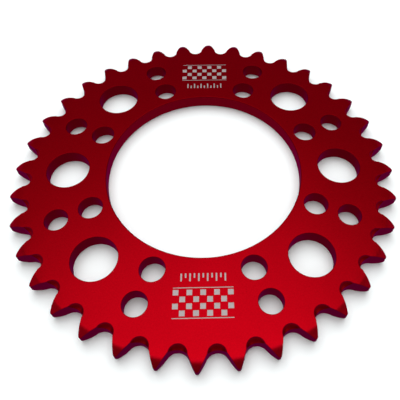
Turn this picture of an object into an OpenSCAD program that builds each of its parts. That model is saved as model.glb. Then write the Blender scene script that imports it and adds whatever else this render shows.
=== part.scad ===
// Rear sprocket for a small motorcycle, machined in one piece from aluminium plate.
// Origin: centre of the bore, on the hub-side face. +Z points outboard, along the axle.

/* [Chain] */
// Chain pitch in mm
chain_pitch = 12.7; // [12.6:0.05:12.8]
// Diameter of the chain's rollers in mm
roller_d = 7.77; // [7.6:0.01:7.9]
// Number of teeth
teeth = 36; // [36:1:37]
// Angle of the first tooth from +X in degrees
tooth_phase = 8.6; // [0:0.05:9.95]

/* [Plate] */
// Thickness of the plate in mm
plate_t = 5.8; // [5.4:0.1:6.4]
// Diameter of the central bore in mm
bore_d = 77; // [75:0.5:79]
// Break on the edges of the bore in mm
bore_break = 0.3; // [0.2:0.05:0.5]
// Break on the edges of every other hole in mm
hole_break = 0.2; // [0.15:0.05:0.3]

/* [Tooth form] */
// Half angle of the roller seat in degrees
seat_half_angle = 60; // [59:0.5:61]
// Radius of the bulged tooth flanks in mm
flank_r = 60; // [50:1:70]
// Radius of the rounded tooth tips in mm
nose_r = 0.8; // [0.6:0.05:0.9]
// Radial width of the bevel along the tips in mm
bevel_w = 3.5; // [3:0.05:3.7]
// Depth of the bevel at the tips in mm
bevel_depth = 1.6; // [1.2:0.05:1.7]

/* [Relief pockets] */
// Radius of the ball cutter that scoops each tooth gap in mm
scoop_r = 3.1; // [2.9:0.05:3.3]
// Distance from the pitch circle in to the cutter's centre in mm
scoop_inset = 2.3; // [2.1:0.05:2.5]
// Height of the cutter's centre above the outboard face in mm
scoop_lift = 0.3; // [0.1:0.05:0.5]

/* [Bolt circles] */
// Number of holes on each bolt circle
bolt_count = 8; // [8:1:8]
// Diameter of the inner bolt circle in mm
inner_pcd = 91.8; // [91:0.1:92.5]
// Diameter of the holes on the inner bolt circle in mm
inner_hole_d = 9; // [8.4:0.1:9.4]
// Diameter of the outer bolt circle in mm
outer_pcd = 117.6; // [117:0.1:118]
// Diameter of the holes on the outer bolt circle in mm
outer_hole_d = 8.6; // [8.2:0.1:9]

/* [Lightening holes] */
// Diameter of the circle that the lightening holes lie on in mm
light_pcd = 107.8; // [107.2:0.1:108.4]
// Diameter of the lightening holes in mm
light_d = 16.6; // [16:0.1:17]

/* [Etched marks] */
// Depth of the etched marks in mm
etch_depth = 0.08; // [0.06:0.01:0.12]
// Side of one square in the chequered band in mm
check_side = 1.9; // [1.6:0.1:2.1]
// Distance between the squares' centres in mm
check_step = 2.3; // [2.3:0.05:2.4]
// Radius at the middle of the chequered band in mm
check_radius = 54.3; // [54:0.1:54.5]
// Radius at the middle of the row of ticks in mm
tick_radius = 45.6; // [45.2:0.1:45.8]

/* [Hidden] */
$fn = 96;
eps = 0.02;

pitch_r = chain_pitch / (2 * sin(180 / teeth));
seat_r = 0.5025 * roller_d + 0.05;
half_pitch = 180 / teeth;

// Centre of a flank arc, in the frame of the tooth gap that it bounds
flank_reach = seat_r + flank_r - 0.01;
flank_x = pitch_r - flank_reach * cos(seat_half_angle);
flank_y = flank_reach * sin(seat_half_angle);

// The same centre, in the frame of the tooth beside that gap
far_x = flank_x * cos(half_pitch) + flank_y * sin(half_pitch);
far_y = flank_y * cos(half_pitch) - flank_x * sin(half_pitch);

// Centre of the nose circle that touches both flanks, and the tips' radius that follows
nose_x = far_x + sqrt((flank_r - nose_r) * (flank_r - nose_r) - far_y * far_y);
tip_r = nose_x + nose_r;
// Where the nose leaves the flank
touch_x = far_x + (nose_x - far_x) * flank_r / (flank_r - nose_r);

base_r = pitch_r - seat_r * cos(seat_half_angle) - 0.45;

light_angles = [0, 45, 135, 180, 225, 315];
bolt_angles = [for (i = [0 : bolt_count - 1]) 180 / bolt_count + i * 360 / bolt_count];
check_cols = 9;
check_rows = 4;
tick_count = 11;
tick_step = 1.5;

// One tooth on +X, from inside the root circle to its rounded nose
module tooth() {
    intersection() {
        translate([far_x, far_y]) circle(r = flank_r, $fn = 180);
        translate([far_x, -far_y]) circle(r = flank_r, $fn = 180);
        translate([base_r - 1.5, -6]) square([touch_x - base_r + 1.5, 12]);
    }
    translate([nose_x, 0]) circle(r = nose_r + 0.004, $fn = 32);
}

// Full outline: teeth on a disc, with a round seat for the chain's roller in each gap
module outline() {
    difference() {
        union() {
            circle(r = base_r, $fn = 180);
            for (i = [0 : teeth - 1]) rotate(tooth_phase + i * 360 / teeth) tooth();
        }
        for (i = [0 : teeth - 1])
            rotate(tooth_phase + (i + 0.5) * 360 / teeth)
                translate([pitch_r, 0]) circle(r = seat_r, $fn = 64);
    }
}

// Turned blank: both faces fall away to the tips in a bevel that steepens outwards
module blank() {
    b0 = tip_r - bevel_w;
    b1 = tip_r - bevel_w * 0.4;
    b2 = tip_r + 0.1;
    d1 = bevel_depth * 0.42;
    d2 = bevel_depth * 1.06;
    rotate_extrude($fn = 180)
        polygon([
            [0, 0], [b0, 0], [b1, d1], [b2, d2],
            [b2, plate_t - d2], [b1, plate_t - d1], [b0, plate_t], [0, plate_t]
        ]);
}

// Through hole with both edges broken
module bored(d, brk) {
    translate([0, 0, -1]) cylinder(d = d, h = plate_t + 2);
    translate([0, 0, -eps]) cylinder(d1 = d + 2 * (brk + eps), d2 = d, h = brk + eps);
    translate([0, 0, plate_t - brk]) cylinder(d1 = d, d2 = d + 2 * (brk + eps), h = brk + eps);
}

// Pocket that a ball-nosed cutter leaves where a gap meets the outboard face
module scoop() {
    translate([pitch_r - scoop_inset, 0, plate_t + scoop_lift]) sphere(r = scoop_r, $fn = 48);
}

// Plain decoration on +Y: a chequered band between two rules, with a row of ticks inside it
module etched_mark() {
    z = plate_t - etch_depth;
    h = etch_depth + 1;
    band_w = (check_cols - 1) * check_step + check_side;
    band_h = (check_rows - 1) * check_step + check_side;
    for (c = [0 : check_cols - 1], r = [0 : check_rows - 1])
        if ((c + r) % 2 == 0)
            translate([
                (c - (check_cols - 1) / 2) * check_step - check_side / 2,
                check_radius + (r - (check_rows - 1) / 2) * check_step - check_side / 2,
                z
            ]) cube([check_side, check_side, h]);
    for (s = [-1, 1])
        translate([-band_w / 2, check_radius + s * (band_h / 2 + 0.65) - 0.15, z])
            cube([band_w, 0.3, h]);
    for (i = [0 : tick_count - 1])
        let (tall = i % 2 == 0 ? 2.8 : 1.6)
            translate([(i - (tick_count - 1) / 2) * tick_step - 0.275, tick_radius - 1.4, z])
                cube([0.55, tall, h]);
}

module sprocket_plate() {
    color("crimson")
        difference() {
            intersection() {
                blank();
                translate([0, 0, -1]) linear_extrude(height = plate_t + 2) outline();
            }
            bored(bore_d, bore_break);
            for (a = bolt_angles) {
                rotate(a) translate([inner_pcd / 2, 0, 0]) bored(inner_hole_d, hole_break);
                rotate(a) translate([outer_pcd / 2, 0, 0]) bored(outer_hole_d, hole_break);
            }
            for (a = light_angles)
                rotate(a) translate([light_pcd / 2, 0, 0]) bored(light_d, hole_break);
            for (i = [0 : teeth - 1])
                rotate(tooth_phase + (i + 0.5) * 360 / teeth) scoop();
            for (a = [0, 180]) rotate(a) etched_mark();
        }
}

sprocket_plate();
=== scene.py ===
import bpy
import math
import numpy as np
from mathutils import Vector, Matrix
from mathutils.geometry import delaunay_2d_cdt


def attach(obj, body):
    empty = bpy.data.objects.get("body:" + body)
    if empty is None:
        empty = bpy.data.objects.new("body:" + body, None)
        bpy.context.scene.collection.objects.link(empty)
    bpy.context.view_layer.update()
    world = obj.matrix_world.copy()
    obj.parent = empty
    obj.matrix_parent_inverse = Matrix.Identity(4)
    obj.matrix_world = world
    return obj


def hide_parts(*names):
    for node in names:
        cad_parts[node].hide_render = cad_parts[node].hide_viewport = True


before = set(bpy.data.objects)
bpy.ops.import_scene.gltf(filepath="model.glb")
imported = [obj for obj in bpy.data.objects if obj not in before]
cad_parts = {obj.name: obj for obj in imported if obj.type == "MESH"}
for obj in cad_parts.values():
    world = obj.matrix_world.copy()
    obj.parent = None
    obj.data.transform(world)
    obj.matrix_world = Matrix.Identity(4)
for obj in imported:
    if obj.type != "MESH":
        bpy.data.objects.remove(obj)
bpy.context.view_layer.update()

MM = 0.001

# ---------------------------------------------------------------- dimensions, in mm, as in the design
T = 5.8
BORE_R, BORE_BREAK, HOLE_BREAK = 38.5, 0.3, 0.2
TEETH, PHASE = 36, 8.6
PITCH_R = 12.7 / (2 * math.sin(math.pi / TEETH))
SEAT_R = 0.5025 * 7.77 + 0.05
SEAT_HALF, FLANK_R, NOSE_R = math.radians(60), 60.0, 0.8
BEVEL_W, BEVEL_D = 3.5, 1.6
SCOOP_R, SCOOP_C, SCOOP_LIFT = 3.1, PITCH_R - 2.3, 0.3
ETCH = 0.08
HOLES = [(45.9, 22.5 + 45 * i, 4.5) for i in range(8)]
HOLES += [(58.8, 22.5 + 45 * i, 4.3) for i in range(8)]
HOLES += [(53.9, a, 8.3) for a in (0, 45, 135, 180, 225, 315)]
HOLES = [(r * math.cos(math.radians(a)), r * math.sin(math.radians(a)), h) for r, a, h in HOLES]
HP = math.pi / TEETH
ROUND = 0.12        # radius of the deburred rim edges
LIP = 0.12          # radius where a scoop meets the face

# ---------------------------------------------------------------- tooth gap in its own frame, gap centre on +X
reach = SEAT_R + FLANK_R
fx, fy = PITCH_R - reach * math.cos(SEAT_HALF), reach * math.sin(SEAT_HALF)
gx, gy = fx * math.cos(HP) + fy * math.sin(HP), fy * math.cos(HP) - fx * math.sin(HP)
nose_x = gx + math.sqrt((FLANK_R - NOSE_R) ** 2 - gy * gy)
TIP_R = nose_x + NOSE_R
B0 = TIP_R - BEVEL_W
nx, ny = nose_x * math.cos(HP), nose_x * math.sin(HP)


def half_outline(s):
    """Point on the half outline and its inward normal; s runs 0..1 seat, 1..2 flank, 2..3 nose."""
    if s <= 1:
        a = SEAT_HALF * s
        d = (-math.cos(a), math.sin(a))
        return PITCH_R + SEAT_R * d[0], SEAT_R * d[1], d[0], d[1]
    t0 = math.atan2(SEAT_R * math.sin(SEAT_HALF) - fy, PITCH_R - SEAT_R * math.cos(SEAT_HALF) - fx)
    dx, dy = nx - fx, ny - fy
    t1 = math.atan2(dy, dx)
    if s <= 2:
        a = t0 + (t1 - t0) * (s - 1)
        return fx + FLANK_R * math.cos(a), fy + FLANK_R * math.sin(a), -math.cos(a), -math.sin(a)
    a = t1 + (HP - t1) * (s - 2)
    return nx + NOSE_R * math.cos(a), ny + NOSE_R * math.sin(a), -math.cos(a), -math.sin(a)


def bevel_depth(r):
    x = np.clip(r - B0, 0, None)
    x1, d1, x2, d2 = 0.6 * BEVEL_W, 0.42 * BEVEL_D, BEVEL_W + 0.1, 1.06 * BEVEL_D
    b = (d2 / x2 - d1 / x1) / (x2 - x1)
    a = d1 / x1 - b * x1
    return a * x + b * x * x


LIP_IN = math.sqrt(SCOOP_R ** 2 - (SCOOP_LIFT + LIP) ** 2)
LIP_OUT = LIP_IN + LIP


def scoop_z(q):
    """Height over a scoop at distance q from its axis."""
    q = np.asarray(q, float)
    ball = T + SCOOP_LIFT - np.sqrt(np.clip(SCOOP_R ** 2 - q * q, 0, None))
    u = np.clip((LIP_OUT - q) / LIP, 0, 1)
    lip = T - LIP * (1 - np.sqrt(np.clip(1 - u * u, 0, None)))
    return np.where(q < LIP_IN, ball, np.where(q < LIP_OUT, lip, T))


def top_z(x, y):
    """Outboard surface in a gap's frame."""
    return np.minimum(T - bevel_depth(np.hypot(x, y)), scoop_z(np.hypot(x - SCOOP_C, y)))


def low_z(x, y):
    return bevel_depth(np.hypot(x, y))


def surface_normal(f, x, y, sign):
    h = 2e-3
    zx = (f(x + h, y) - f(x - h, y)) / (2 * h)
    zy = (f(x, y + h) - f(x, y - h)) / (2 * h)
    n = np.stack([-zx, -zy, np.ones_like(zx)], -1) * sign
    return n / np.linalg.norm(n, axis=-1, keepdims=True)


# samples along the half outline, with one exactly where each ring below meets the inset edge
BEVEL_RINGS = [B0, B0 + 0.14, B0 + 0.8, B0 + 1.5, B0 + 2.2, B0 + 2.9]
BALL = [math.radians(a) for a in (14, 22, 30, 38, 46, 54, 62)]
SCOOP_RINGS = [LIP_OUT, LIP_IN + LIP * 0.5, LIP_IN + LIP * 0.14, LIP_IN] + [SCOOP_R * math.cos(a) for a in BALL]
samples = [i / 16 for i in range(17)] + [1 + i / 8 for i in range(1, 9)] + [2 + i / 6 for i in range(1, 7)]


def inset(s, d=ROUND):
    x, y, ax, ay = half_outline(s)
    return x + ax * d, y + ay * d


def crossing(f, lo, hi):
    a, b = f(lo), f(hi)
    if a * b > 0:
        return None
    for _ in range(60):
        m = (lo + hi) / 2
        c = f(m)
        if a * c <= 0:
            hi = m
        else:
            lo, a = m, c
    return (lo + hi) / 2


ring_s = {}
for r in BEVEL_RINGS:
    s = crossing(lambda s: math.hypot(*inset(s)) - r, 0.4, 3.0)
    if s is not None:
        ring_s[("b", r)] = s
for q in SCOOP_RINGS:
    s = crossing(lambda s: math.hypot(inset(s)[0] - SCOOP_C, inset(s)[1]) - q, 0.0, 1.6)
    if s is not None:
        ring_s[("s", q)] = s
special = sorted(ring_s.values())
samples = [s for s in samples if all(abs(s - q) > 0.012 for q in special)] + special
samples = sorted(samples)
half = np.array([half_outline(s) for s in samples])
ins = half[:, :2] + half[:, 2:] * ROUND
# whole gap: mirrored half up to the middle of the tooth on each side; the last tooth sample is shared
full = np.concatenate([half[::-1] * np.array([1, -1, 1, -1]), half[1:]])
NG = len(full) - 1            # samples per gap, the last one belongs to the next gap
mid_i = len(half) - 1         # index of the gap's centre
s_index = {s: i for i, s in enumerate(samples)}


def rot(a):
    c, s = math.cos(a), math.sin(a)
    return np.array([[c, -s], [s, c]])


gap_angles = [math.radians(PHASE) + (i + 0.5) * 2 * HP for i in range(TEETH)]

verts, norms, faces, mats, wear_and_painted_light = [], [], [], [], []


def add(p, n, w=0.0):
    """Appends rows of points, normals and edge marks (rubbed rim edges that also carry a painted edge highlight,
    painted shade on the hole breaks); returns their indices.
    """
    base = sum(len(v) for v in verts)
    p = np.atleast_2d(p)
    n = np.broadcast_to(np.atleast_2d(n), p.shape)
    verts.append(p)
    norms.append(n)
    wear_and_painted_light.append(np.full(len(p), w) if np.isscalar(w) else np.asarray(w))
    return np.arange(base, base + len(p))


def strip(a, b, closed=True, mat=0):
    """Quads between two rings, wound so that they face right of a to b when a runs anticlockwise."""
    n = len(a)
    for i in range(n if closed else n - 1):
        j = (i + 1) % n
        faces.append((a[i], a[j], b[j], b[i]))
        mats.append(mat)


# ---------------------------------------------------------------- rim: wall and the rounded edges above and below
px, py, inx, iny = full[:-1].T
cx, cy = px + inx * ROUND, py + iny * ROUND
zt, zb = top_z(cx, cy), low_z(cx, cy)
nt, nb = surface_normal(top_z, cx, cy, 1), surface_normal(low_z, cx, cy, -1)
out = np.stack([-inx, -iny, np.zeros_like(inx)], -1)


def ring_from(x, y, z, n):
    pts, nrm = [], []
    for a in gap_angles:
        R = rot(a)
        p = np.stack([x, y], -1) @ R.T
        m = n[:, :2] @ R.T
        pts.append(np.column_stack([p, z]))
        nrm.append(np.column_stack([m, n[:, 2]]))
    return np.concatenate(pts), np.concatenate(nrm)


def unit(n):
    return n / np.linalg.norm(n, axis=1, keepdims=True)


def edge_rings(z, n, sign):
    rings = []
    for ang in (0, 30, 60):
        c, s = math.cos(math.radians(ang)), math.sin(math.radians(ang))
        d = ROUND * (1 - c)
        p, m = ring_from(px + inx * d, py + iny * d, z - sign * ROUND * (1 - s), unit(out * c + n * s))
        # the rounded rim rings at 30 and 60 degrees get a positive edge mark: rubbed edges, lightened in colour, also
        # as a painted edge highlight
        rings.append(add(p, m, 1.0 if ang else 0.0))
    p, m = ring_from(cx, cy, z, n)
    rings.append(add(p, m, 0.0))
    return rings


top_rings = edge_rings(zt, nt, 1)
low_rings = edge_rings(zb, nb, -1)
strip(low_rings[0], top_rings[0])
for a, b in zip(top_rings, top_rings[1:]):
    strip(a, b)
for a, b in zip(low_rings, low_rings[1:]):
    strip(b, a)

# ---------------------------------------------------------------- bore and holes, with rounded breaks
hole_loops_top, hole_loops_low = [], []


def hole(x, y, r, brk, n):
    a = np.arange(n) * 2 * math.pi / n
    c, s = np.cos(a), np.sin(a)
    inward = np.column_stack([-c, -s, np.zeros(n)])
    up, rings = np.array([0, 0, 1.0]), []
    for side, sign in ((T, 1), (0, -1)):
        row = []
        for ang in (0, 22.5, 45, 67.5, 90):
            ca, sa = math.cos(math.radians(ang)), math.sin(math.radians(ang))
            rr = r + brk * (1 - ca)
            z = side - sign * brk * (1 - sa)
            p = np.column_stack([x + rr * c, y + rr * s, np.full(n, z)])
            # the break rings get a negative edge mark: painted shade on the broken edges, applied in the material
            row.append(add(p, inward * ca + up * sign * sa, -1.0 if 0 < ang < 90 else 0.0))
        rings.append(row)
    t, b = rings
    strip(t[0], b[0])
    for p, q in zip(t, t[1:]):
        strip(q, p)
    for p, q in zip(b, b[1:]):
        strip(p, q)
    hole_loops_top.append(t[-1])
    hole_loops_low.append(b[-1])


hole(0, 0, BORE_R, BORE_BREAK, 360)
for x, y, r in HOLES:
    hole(x, y, r, HOLE_BREAK, 96 if r > 6 else 64)

# ---------------------------------------------------------------- etched marks: chequered band, rules and ticks
COLS, ROWS, STEP, SIDE = 9, 4, 2.3, 1.9
BAND_R, TICK_R = 54.3, 45.6
boxes = []
bw, bh = (COLS - 1) * STEP + SIDE, (ROWS - 1) * STEP + SIDE
for c in range(COLS):
    for r in range(ROWS):
        if (c + r) % 2 == 0:
            boxes.append(((c - (COLS - 1) / 2) * STEP, BAND_R + (r - (ROWS - 1) / 2) * STEP, SIDE, SIDE))
for s in (-1, 1):
    boxes.append((0, BAND_R + s * (bh / 2 + 0.65), bw, 0.3))
for i in range(11):
    tall = 2.8 if i % 2 == 0 else 1.6
    boxes.append(((i - 5) * 1.5, TICK_R - 1.4 + tall / 2, 0.55, tall))
mark_loops, mark_boxes = [], []
for flip in (1, -1):
    for bx, by, w, h in boxes:
        q = np.array([[-w / 2, -h / 2], [w / 2, -h / 2], [w / 2, h / 2], [-w / 2, h / 2]]) + [bx, by]
        q = q * flip
        mark_boxes.append((bx * flip, by * flip, w, h))
        top = add(np.column_stack([q, np.full(4, T)]), (0, 0, 1.0), 0.0)
        wall = add(np.column_stack([q, np.full(4, T)]), (0, 0, 1.0), 0.0)
        low = add(np.column_stack([q, np.full(4, T - ETCH)]), (0, 0, 1.0), 0.0)
        for i in range(4):
            j = (i + 1) % 4
            faces.append((top[i], top[j], low[j], low[i]))
            mats.append(1)
        faces.append(tuple(low))
        mats.append(1)
        mark_loops.append(top)

# ---------------------------------------------------------------- flat and bevelled surfaces, triangulated between the loops
def surface(which):
    allv = np.concatenate(verts)
    loops = [top_rings[-1] if which == "top" else low_rings[-1]]
    loops += hole_loops_top if which == "top" else hole_loops_low
    if which == "top":
        loops += mark_loops
    idx, edges, pts = [], [], []
    for loop in loops:
        base = len(idx)
        idx += list(loop)
        n = len(loop)
        edges += [(base + i, base + (i + 1) % n) for i in range(n)]
    pts = [tuple(p) for p in allv[idx][:, :2]]
    local = [None] * len(pts)
    rim = len(loops[0])
    extra = []          # (x, y, z, normal)

    def put(x, y, a, f, sign):
        R = rot(a)
        p = R @ np.array([x, y])
        n = surface_normal(f, np.array([x]), np.array([y]), sign)[0]
        n[:2] = R @ n[:2]
        pts.append((p[0], p[1]))
        extra.append((p[0], p[1], float(f(np.array([x]), np.array([y]))[0]), n))
        return len(pts) - 1

    f, sign = (top_z, 1) if which == "top" else (low_z, -1)
    for g, a in enumerate(gap_angles):
        # scoop rings: from the sample on one side of the gap, round the axle side, to the other
        if which == "top":
            for q in SCOOP_RINGS:
                s = ring_s.get(("s", q))
                if s is None:
                    continue
                k = s_index[s]
                ex, ey = ins[k]
                t1 = math.atan2(ey, ex - SCOOP_C)          # upper end
                t1 = t1 if t1 > 0 else t1 + 2 * math.pi
                n = max(3, int(q * 2 * (math.pi - t1) / 0.42))
                chain = [g * NG + mid_i + k]
                for i in range(1, n):
                    t = t1 + (2 * math.pi - 2 * t1) * i / n
                    chain.append(put(SCOOP_C + q * math.cos(t), q * math.sin(t), a, f, sign))
                chain.append(g * NG + mid_i - k)
                edges.extend(zip(chain, chain[1:]))
        # bevel rings: across the tooth that follows this gap
        for r in BEVEL_RINGS:
            s = ring_s.get(("b", r))
            if s is None:
                continue
            k = s_index[s]
            ex, ey = ins[k]
            t0 = math.atan2(ey, ex)
            t1 = 2 * HP - t0
            n = max(2, int(r * (t1 - t0) / 0.45))
            chain = [g * NG + mid_i + k]
            for i in range(1, n):
                t = t0 + (t1 - t0) * i / n
                # the tooth's far half belongs to the next gap; the bevel is the same seen from either
                R = rot(a)
                p = R @ np.array([r * math.cos(t), r * math.sin(t)])
                pts.append((p[0], p[1]))
                x, y = r * math.cos(t), r * math.sin(t)
                z = T - float(bevel_depth(r)) if which == "top" else float(bevel_depth(r))
                h = 2e-3
                sl = float((bevel_depth(r + h) - bevel_depth(r - h)) / (2 * h))
                m = np.array([x / r * sl, y / r * sl, sign])
                m /= np.linalg.norm(m)
                m[:2] = R @ m[:2]
                extra.append((p[0], p[1], z, m))
                chain.append(len(pts) - 1)
            chain.append(((g + 1) % TEETH) * NG + mid_i - k)
            edges.extend(zip(chain, chain[1:]))
    # even filling of the flat area
    step = 2.6
    fill = []
    for i in range(-30, 31):
        for j in range(-34, 35):
            x, y = (i + 0.5 * (j % 2)) * step, j * step * 0.866
            r = math.hypot(x, y)
            if r < BORE_R + 1.5 or r > SCOOP_C - LIP_OUT - 0.9:
                continue
            if any(math.hypot(x - hx, y - hy) < hr + 1.3 for hx, hy, hr in HOLES):
                continue
            if which == "top" and any(abs(x - bx) < w / 2 + 0.5 and abs(y - by) < h / 2 + 0.5 for bx, by, w, h in mark_boxes):
                continue
            fill.append((x, y))
    for x, y in fill:
        pts.append((x, y))
        extra.append((x, y, T if which == "top" else 0.0, np.array([0, 0, float(sign)])))
    ev, ee, ef, ov, oe, of_ = delaunay_2d_cdt([Vector(p) for p in pts], edges, [], 0, 1e-7)
    if len(ev) != len(pts):
        print("cdt changed the points", which, len(pts), len(ev))
    e = np.array([x[:3] for x in extra])
    new = add(e, np.array([x[3] for x in extra]), 0.0)
    rows = np.concatenate([np.array(idx), new])
    back = [o[0] if o else -1 for o in ov]
    tri = np.array([t for t in ef])
    P = np.array([tuple(v) for v in ev])
    c = P[tri].mean(1)
    keep = np.ones(len(tri), bool)
    r = np.hypot(c[:, 0], c[:, 1])
    keep &= r > BORE_R + BORE_BREAK
    for hx, hy, hr in HOLES:
        keep &= np.hypot(c[:, 0] - hx, c[:, 1] - hy) > hr + HOLE_BREAK
    if which == "top":
        for bx, by, w, h in mark_boxes:
            keep &= ~((abs(c[:, 0] - bx) < w / 2) & (abs(c[:, 1] - by) < h / 2))
    far = np.where(keep & (r > 66))[0]
    loop = P[:rim]
    x0, y0 = loop.T
    x1, y1 = np.roll(loop, -1, 0).T
    for i in np.array_split(far, max(1, len(far) // 2000)):
        X, Y = c[i, 0][:, None], c[i, 1][:, None]
        hit = ((y0 > Y) != (y1 > Y)) & (X < (x1 - x0) * (Y - y0) / (y1 - y0 + 1e-30) + x0)
        keep[i] &= hit.sum(1) % 2 == 1
    for t in tri[keep]:
        q = [int(rows[back[v]]) for v in t]
        p0, p1, p2 = P[t]
        ccw = (p1[0] - p0[0]) * (p2[1] - p0[1]) - (p1[1] - p0[1]) * (p2[0] - p0[0]) > 0
        if ccw != (sign > 0):
            q.reverse()
        faces.append(tuple(q))
        mats.append(0)


surface("top")
surface("low")

V = np.concatenate(verts)
N = np.concatenate(norms)
N = N / np.linalg.norm(N, axis=1, keepdims=True)
W = np.concatenate(wear_and_painted_light)
mesh = bpy.data.meshes.new("sprocket_finish")
mesh.from_pydata((V * MM).tolist(), [], faces)
mesh.polygons.foreach_set("material_index", mats)
mesh.polygons.foreach_set("use_smooth", [True] * len(faces))
at = mesh.attributes.new("edge_wear_and_painted_light", "FLOAT", "POINT")
at.data.foreach_set("value", W.astype(np.float32))
mesh.validate()
mesh.normals_split_custom_set_from_vertices(N.tolist())
plate = bpy.data.objects.new("sprocket_finish", mesh)
bpy.context.scene.collection.objects.link(plate)
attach(plate, "root")
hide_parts("sprocket_plate")


# ---------------------------------------------------------------- materials
def node_material(name):
    m = bpy.data.materials.new(name)
    m.use_nodes = True
    nt = m.node_tree
    nt.nodes.clear()
    o = nt.nodes.new("ShaderNodeOutputMaterial")
    b = nt.nodes.new("ShaderNodeBsdfPrincipled")
    nt.links.new(b.outputs[0], o.inputs[0])
    return m, nt, b


def new(nt, kind, **kw):
    n = nt.nodes.new(kind)
    for k, v in kw.items():
        setattr(n, k, v)
    return n


def math_node(nt, op, a, b=None, clamp=False):
    n = new(nt, "ShaderNodeMath", operation=op, use_clamp=clamp)
    for i, v in enumerate((a, b)):
        if v is None:
            continue
        if isinstance(v, (int, float)):
            n.inputs[i].default_value = v
        else:
            nt.links.new(v, n.inputs[i])
    return n.outputs[0]


def mix_colour(nt, fac, a, b, mode="MIX"):
    n = new(nt, "ShaderNodeMix", data_type="RGBA", blend_type=mode)
    for sock, v in ((n.inputs[0], fac), (n.inputs[6], a), (n.inputs[7], b)):
        if isinstance(v, (int, float)):
            sock.default_value = v
        elif isinstance(v, tuple):
            sock.default_value = (*v, 1.0)
        else:
            nt.links.new(v, sock)
    return n.outputs[2]


def ramp(nt, fac, stops):
    n = new(nt, "ShaderNodeMapRange")
    nt.links.new(fac, n.inputs[0])
    n.inputs[1].default_value, n.inputs[2].default_value, n.inputs[3].default_value, n.inputs[4].default_value = stops
    return n.outputs[0]


def noise(nt, vec, scale, detail=2.0, rough=0.5):
    n = new(nt, "ShaderNodeTexNoise")
    n.inputs["Scale"].default_value = scale
    n.inputs["Detail"].default_value = detail
    n.inputs["Roughness"].default_value = rough
    nt.links.new(vec, n.inputs["Vector"])
    return n.outputs["Fac"]


RED_FACE = (0.60, 0.0010, 0.0085)
RED_BEVEL = (0.60, 0.0010, 0.0170)
RED_BORED = (0.66, 0.0010, 0.028)      # wall of the bore
RED_DRILLED_SHADED = (0.43, 0.0010, 0.014)    # walls of the holes, darker than the bore wall as painted shade for the dim floor inside the narrow holes
RED_MILLED_SHADED = (0.46, 0.0010, 0.066)     # walls between the teeth: purple of the cut finish, made darker as painted shade for the shadowed floor they face


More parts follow.
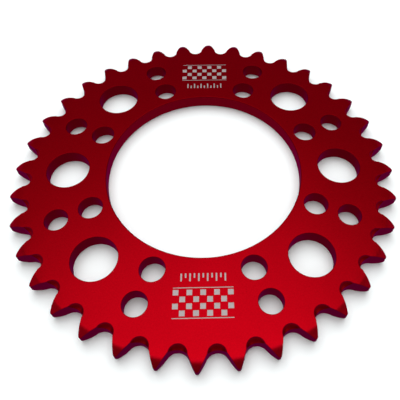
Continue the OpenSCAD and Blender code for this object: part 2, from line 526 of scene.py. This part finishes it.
def red_material():
    m, nt, b = node_material("red_anodised")
    L = nt.links.new
    tc = new(nt, "ShaderNodeTexCoord")
    obj = tc.outputs["Object"]
    sep_n = new(nt, "ShaderNodeSeparateXYZ")
    L(tc.outputs["Normal"], sep_n.inputs[0])
    sep_p = new(nt, "ShaderNodeSeparateXYZ")
    L(obj, sep_p.inputs[0])
    flat = math_node(nt, "ABSOLUTE", sep_n.outputs[2])
    radius = math_node(nt, "SQRT", math_node(nt, "ADD", math_node(nt, "MULTIPLY", sep_p.outputs[0], sep_p.outputs[0]), math_node(nt, "MULTIPLY", sep_p.outputs[1], sep_p.outputs[1])))
    # 1 on the blasted faces, 0 on cut walls
    face = ramp(nt, flat, (0.75, 0.97, 0.0, 1.0))
    grain = noise(nt, obj, 5200.0, 3.0, 0.65)
    speck = noise(nt, obj, 1700.0, 2.0, 0.6)
    cloud = noise(nt, obj, 38.0, 3.0, 0.55)
    tone = math_node(nt, "ADD", math_node(nt, "MULTIPLY", math_node(nt, "SUBTRACT", grain, 0.5), 0.20), math_node(nt, "MULTIPLY", math_node(nt, "SUBTRACT", cloud, 0.5), 0.22))
    tone = math_node(nt, "ADD", tone, math_node(nt, "MULTIPLY", math_node(nt, "SUBTRACT", speck, 0.5), 0.40))
    wall = ramp(nt, flat, (0.10, 0.30, 1.0, 0.0))
    # cut walls: the purple is the finish; the drilled and milled walls also carry painted shade in their darker
    # colours
    cut = mix_colour(nt, ramp(nt, radius, (0.0395, 0.0405, 0.0, 1.0)), RED_BORED, RED_DRILLED_SHADED)
    cut = mix_colour(nt, ramp(nt, radius, (0.0645, 0.0655, 0.0, 1.0)), cut, RED_MILLED_SHADED)
    skin = mix_colour(nt, ramp(nt, radius, ((B0 - 0.5) * MM, TIP_R * MM, 0.0, 1.0)), RED_FACE, RED_BEVEL)
    base = mix_colour(nt, wall, skin, cut)
    lit = new(nt, "ShaderNodeHueSaturation")
    L(base, lit.inputs["Color"])
    L(math_node(nt, "ADD", tone, 1.0), lit.inputs["Value"])
    # edge marks: positive values lighten patches of the rounded rim, as rubbed edges and as a painted edge highlight;
    # negative values darken the hole breaks as painted shade
    edge_paint_node = new(nt, "ShaderNodeAttribute", attribute_name="edge_wear_and_painted_light")
    patch = noise(nt, obj, 420.0, 2.0, 0.5)
    worn_and_highlit = math_node(nt, "MULTIPLY", edge_paint_node.outputs["Fac"], ramp(nt, patch, (0.45, 0.65, 0.05, 0.45)), clamp=True)
    colour = mix_colour(nt, worn_and_highlit, lit.outputs[0], (0.66, 0.03, 0.05))
    # painted shade: the broken edges of the bore and the holes are darkened in colour, which puts out the lamp's
    # reflection on them
    colour = mix_colour(nt, ramp(nt, edge_paint_node.outputs["Fac"], (-1.0, 0.0, 0.65, 0.0)), colour, (0.16, 0.0006, 0.006))
    L(colour, b.inputs["Base Color"])
    b.inputs["Metallic"].default_value = 1.0
    b.inputs["Specular Tint"].default_value = (1.0, 0.05, 0.80, 1.0)
    rough = math_node(nt, "ADD", ramp(nt, face, (0.0, 1.0, 0.34, 0.29)), math_node(nt, "MULTIPLY", math_node(nt, "SUBTRACT", speck, 0.5), 0.06))
    L(rough, b.inputs["Roughness"])
    # turned lines on the bevel and the scoops, cutter lines round the walls, blasted grain on the faces
    turned = new(nt, "ShaderNodeMath", operation="SINE")
    L(math_node(nt, "MULTIPLY", radius, 6.2832 / 0.00022), turned.inputs[0])
    lines = new(nt, "ShaderNodeMath", operation="SINE")
    L(math_node(nt, "ADD", math_node(nt, "MULTIPLY", sep_p.outputs[2], 6.2832 / 0.00034), math_node(nt, "MULTIPLY", cloud, 5.0)), lines.inputs[0])
    beyond = ramp(nt, radius, ((B0 + 0.02) * MM, (B0 + 0.2) * MM, 0.0, 1.0))
    not_wall = ramp(nt, flat, (0.25, 0.5, 0.0, 1.0))
    tl = math_node(nt, "MULTIPLY", math_node(nt, "MULTIPLY", turned.outputs[0], beyond), math_node(nt, "MULTIPLY", not_wall, 0.18))
    wl = math_node(nt, "MULTIPLY", lines.outputs[0], math_node(nt, "MULTIPLY", math_node(nt, "SUBTRACT", 1.0, not_wall), 0.16))
    height = math_node(nt, "ADD", math_node(nt, "ADD", math_node(nt, "MULTIPLY", grain, 0.8), math_node(nt, "MULTIPLY", speck, 0.7)), math_node(nt, "ADD", tl, wl))
    bump = new(nt, "ShaderNodeBump")
    bump.inputs["Strength"].default_value = 0.03
    bump.inputs["Distance"].default_value = 0.00004
    L(height, bump.inputs["Height"])
    L(bump.outputs[0], b.inputs["Normal"])
    return m


def etch_material():
    m, nt, b = node_material("etched_aluminium")
    L = nt.links.new
    tc = new(nt, "ShaderNodeTexCoord")
    obj = tc.outputs["Object"]
    grain = noise(nt, obj, 6000.0, 3.0, 0.65)
    scan = new(nt, "ShaderNodeMath", operation="SINE")
    sep = new(nt, "ShaderNodeSeparateXYZ")
    L(obj, sep.inputs[0])
    L(math_node(nt, "MULTIPLY", sep.outputs[1], 6.2832 / 0.00012), scan.inputs[0])
    g = math_node(nt, "ADD", math_node(nt, "MULTIPLY", math_node(nt, "SUBTRACT", grain, 0.5), 0.9), math_node(nt, "MULTIPLY", scan.outputs[0], 0.05))
    c = mix_colour(nt, math_node(nt, "ADD", g, 0.5, clamp=True), (0.46, 0.39, 0.39), (0.73, 0.65, 0.65))
    L(c, b.inputs["Base Color"])
    b.inputs["Metallic"].default_value = 0.78
    L(math_node(nt, "ADD", math_node(nt, "MULTIPLY", g, 0.15), 0.52), b.inputs["Roughness"])
    bump = new(nt, "ShaderNodeBump")
    bump.inputs["Strength"].default_value = 0.3
    bump.inputs["Distance"].default_value = 0.00003
    L(g, bump.inputs["Height"])
    L(bump.outputs[0], b.inputs["Normal"])
    return m


mesh.materials.append(red_material())
mesh.materials.append(etch_material())

# ---------------------------------------------------------------- floor
bpy.ops.mesh.primitive_plane_add(size=6.0, location=(0, 0, -0.0003))
floor = bpy.context.object
floor.name = "floor"
fm, fnt, fb = node_material("floor_white")
fb.inputs["Base Color"].default_value = (0.915, 0.95, 0.952, 1)
fb.inputs["Roughness"].default_value = 0.7
fb.inputs["Specular IOR Level"].default_value = 0.1
ftc = new(fnt, "ShaderNodeTexCoord")
fdist = new(fnt, "ShaderNodeVectorMath", operation="LENGTH")
fnt.links.new(ftc.outputs["Object"], fdist.inputs[0])
fb.inputs["Emission Color"].default_value = (1, 1, 1, 1)
# far from the lights the floor glows, so that it stays pale out to the backdrop
fnt.links.new(ramp(fnt, fdist.outputs["Value"], (0.40, 1.4, 0.0, 0.92)), fb.inputs["Emission Strength"])
floor.data.materials.append(fm)
floor.visible_glossy = False
bpy.ops.mesh.primitive_uv_sphere_add(segments=48, ring_count=24, radius=2.9)
backdrop = bpy.context.object
backdrop.name = "backdrop"
bm_, bnt, bb = node_material("backdrop_white")
bb.inputs["Base Color"].default_value = (0, 0, 0, 1)
bb.inputs["Specular IOR Level"].default_value = 0.0
bb.inputs["Emission Color"].default_value = (1, 1, 1, 1)
bb.inputs["Emission Strength"].default_value = 0.92
backdrop.data.materials.append(bm_)
backdrop.visible_glossy = backdrop.visible_diffuse = backdrop.visible_shadow = False

# ---------------------------------------------------------------- light
world = bpy.data.worlds.new("studio")
bpy.context.scene.world = world
world.use_nodes = True
wnt = world.node_tree
bg = wnt.nodes["Background"]
wtc = new(wnt, "ShaderNodeTexCoord")
# a round soft light overhead, a little behind the part, in a dim grey room
LAMP = Vector((-0.033, 0.11, 1.0)).normalized()
toward = new(wnt, "ShaderNodeVectorMath", operation="DOT_PRODUCT")
wnt.links.new(wtc.outputs["Generated"], toward.inputs[0])
toward.inputs[1].default_value = LAMP
rise = math_node(wnt, "POWER", ramp(wnt, toward.outputs["Value"], (0.89, 1.0, 0.0, 1.0)), 0.5)
# the room is a little brighter to the sides, and darker straight below, where the part shades the floor
wsep = new(wnt, "ShaderNodeSeparateXYZ")
wnt.links.new(wtc.outputs["Generated"], wsep.inputs[0])
aside = ramp(wnt, math_node(wnt, "ABSOLUTE", wsep.outputs[0]), (0.42, 0.80, 0.0, 1.0))
aside = math_node(wnt, "MULTIPLY", aside, ramp(wnt, wsep.outputs[2], (-0.15, 0.15, 0.0, 1.0)))
below = ramp(wnt, wsep.outputs[2], (-0.97, -0.80, 1.0, 0.0))
room = math_node(wnt, "SUBTRACT", math_node(wnt, "ADD", math_node(wnt, "MULTIPLY", aside, 0.17), 0.178), math_node(wnt, "MULTIPLY", below, 0.045))
# and darker in front, towards the horizon
front = math_node(wnt, "MULTIPLY", ramp(wnt, wsep.outputs[1], (-0.6, -0.1, 1.0, 0.0)), ramp(wnt, math_node(wnt, "ABSOLUTE", wsep.outputs[2]), (0.05, 0.55, 1.0, 0.0)))
room = math_node(wnt, "SUBTRACT", room, math_node(wnt, "MULTIPLY", front, 0.07))
wnt.links.new(math_node(wnt, "ADD", math_node(wnt, "MULTIPLY", rise, 1.10), room), bg.inputs["Strength"])
bg.inputs["Color"].default_value = (1, 1, 1, 1)
world.cycles_visibility.diffuse = False


def soft_sun(name, travels, angle, energy):
    d = bpy.data.lights.new(name, "SUN")
    d.energy, d.angle = energy, math.radians(angle)
    o = bpy.data.objects.new(name, d)
    o.rotation_euler = Vector(travels).to_track_quat("-Z", "Y").to_euler()
    o.visible_glossy = False
    bpy.context.scene.collection.objects.link(o)


# for the floor: a light tent all round, and a softbox that leans from behind the part
soft_sun("tent", (0.0, 0.0, -1.0), 150, 2.0)
soft_sun("softbox", (0.02, -0.50, -1.0), 64, 2.05)

# ---------------------------------------------------------------- camera
CAM = dict(f=482.0, rx=2.46925, ry=-0.00142, rz=0.02041, t=(-8.0156, 10.8502, 192.0806), cx=224.0, cy=140.0)
Rx = Matrix.Rotation(CAM["rx"], 3, "X")
Ry = Matrix.Rotation(CAM["ry"], 3, "Y")
R = Ry @ Rx
Tv = Vector(CAM["t"])
spin = Matrix.Rotation(-CAM["rz"], 3, "Z")
pos = spin @ (-(R.transposed() @ Tv))
right, down, ahead = (spin @ Vector(R[i]) for i in range(3))
cam_d = bpy.data.cameras.new("camera")
cam = bpy.data.objects.new("camera", cam_d)
bpy.context.scene.collection.objects.link(cam)
rotm = Matrix((right, -down, -ahead)).transposed()
cam.matrix_world = Matrix.Translation((pos + Vector((0, 0, T))) * MM) @ rotm.to_4x4()
cam_d.sensor_width = 36
cam_d.lens = CAM["f"] / 400 * 36
cam_d.shift_x = -(CAM["cx"] - 200) / 400
cam_d.shift_y = (CAM["cy"] - 200) / 400
cam_d.clip_start, cam_d.clip_end = 0.005, 20
bpy.context.scene.camera = cam
bpy.context.scene.view_settings.view_transform = "Standard"
